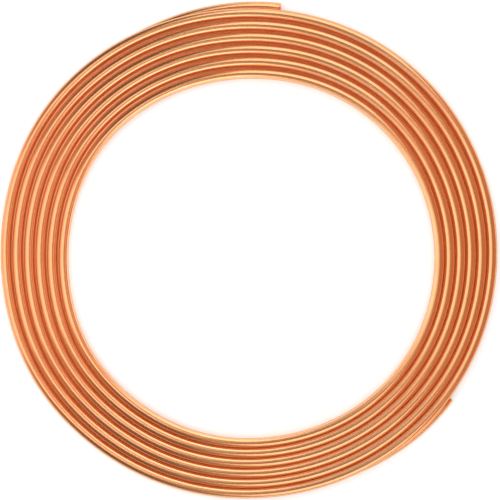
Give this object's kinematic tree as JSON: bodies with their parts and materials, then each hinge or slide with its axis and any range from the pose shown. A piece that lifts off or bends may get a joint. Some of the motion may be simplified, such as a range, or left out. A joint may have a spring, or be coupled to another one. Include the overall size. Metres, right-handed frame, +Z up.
{
  "type": "copper tube coil",
  "caption": "Flat double-layer pancake coil of soft copper tube with an open eye and two square-cut tube ends, stock for water, gas and refrigeration pipework.",
  "frame": {"origin": "on the axis of the coil, at the floor that it lies on", "axes": "+Z up along the coil's axis, +Y towards the side of the coil where the upper loose end lies"},
  "size_m": [0.486, 0.4913, 0.017],
  "materials": {
    "copper": "bright drawn copper"
  },
  "bodies": {
    "root": {"copper_tube_coil": "copper"}
  },
  "joints": []
}
